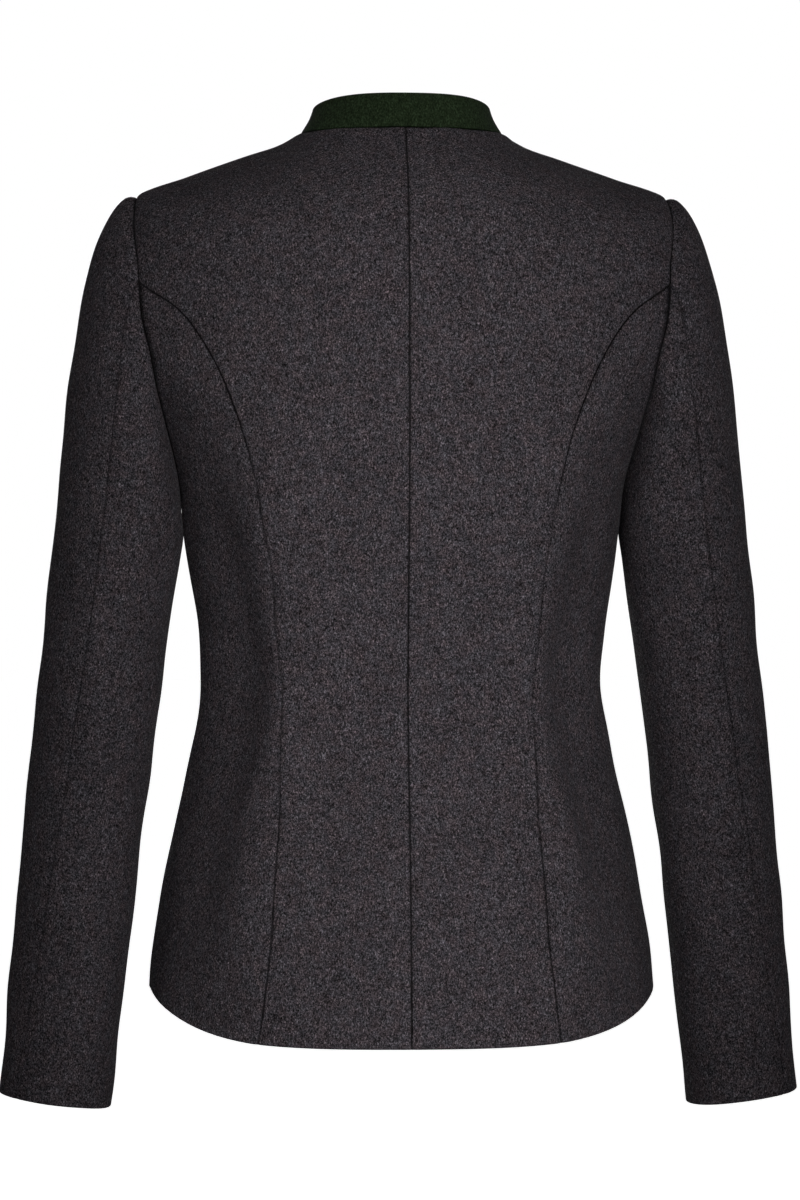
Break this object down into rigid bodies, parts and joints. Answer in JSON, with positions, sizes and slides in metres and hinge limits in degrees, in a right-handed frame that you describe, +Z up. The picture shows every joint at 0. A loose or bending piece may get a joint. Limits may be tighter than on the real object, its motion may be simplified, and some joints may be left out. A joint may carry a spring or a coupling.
{
  "type": "tyrolean loden jacket",
  "caption": "Fitted women's loden jacket in its worn, hollow form: stand collar, princess seams and long two-piece set-in sleeves.",
  "frame": {"origin": "middle of the neck opening, level with the side neck points, where the wearer holds the jacket up", "axes": "+Z up out of the neck, the wearer faces -Y, +X is the wearer's left"},
  "size_m": [0.5666, 0.2717, 0.7108],
  "materials": {
    "loden": "milled wool in a charcoal heather, matt, with a short nap",
    "felt": "dark green felted wool, matt",
    "horn": "dark horn, satin"
  },
  "bodies": {
    "root": {"back_left": "loden", "back_right": "loden", "side_back_left": "loden", "side_back_right": "loden", "side_front_left": "loden", "side_front_right": "loden", "front_left": "loden", "front_right": "loden", "top_sleeve_left": "loden", "top_sleeve_right": "loden", "under_sleeve_left": "loden", "under_sleeve_right": "loden", "collar": "felt", "button_1": "horn", "button_2": "horn", "button_3": "horn", "button_4": "horn", "button_5": "horn"}
  },
  "joints": []
}
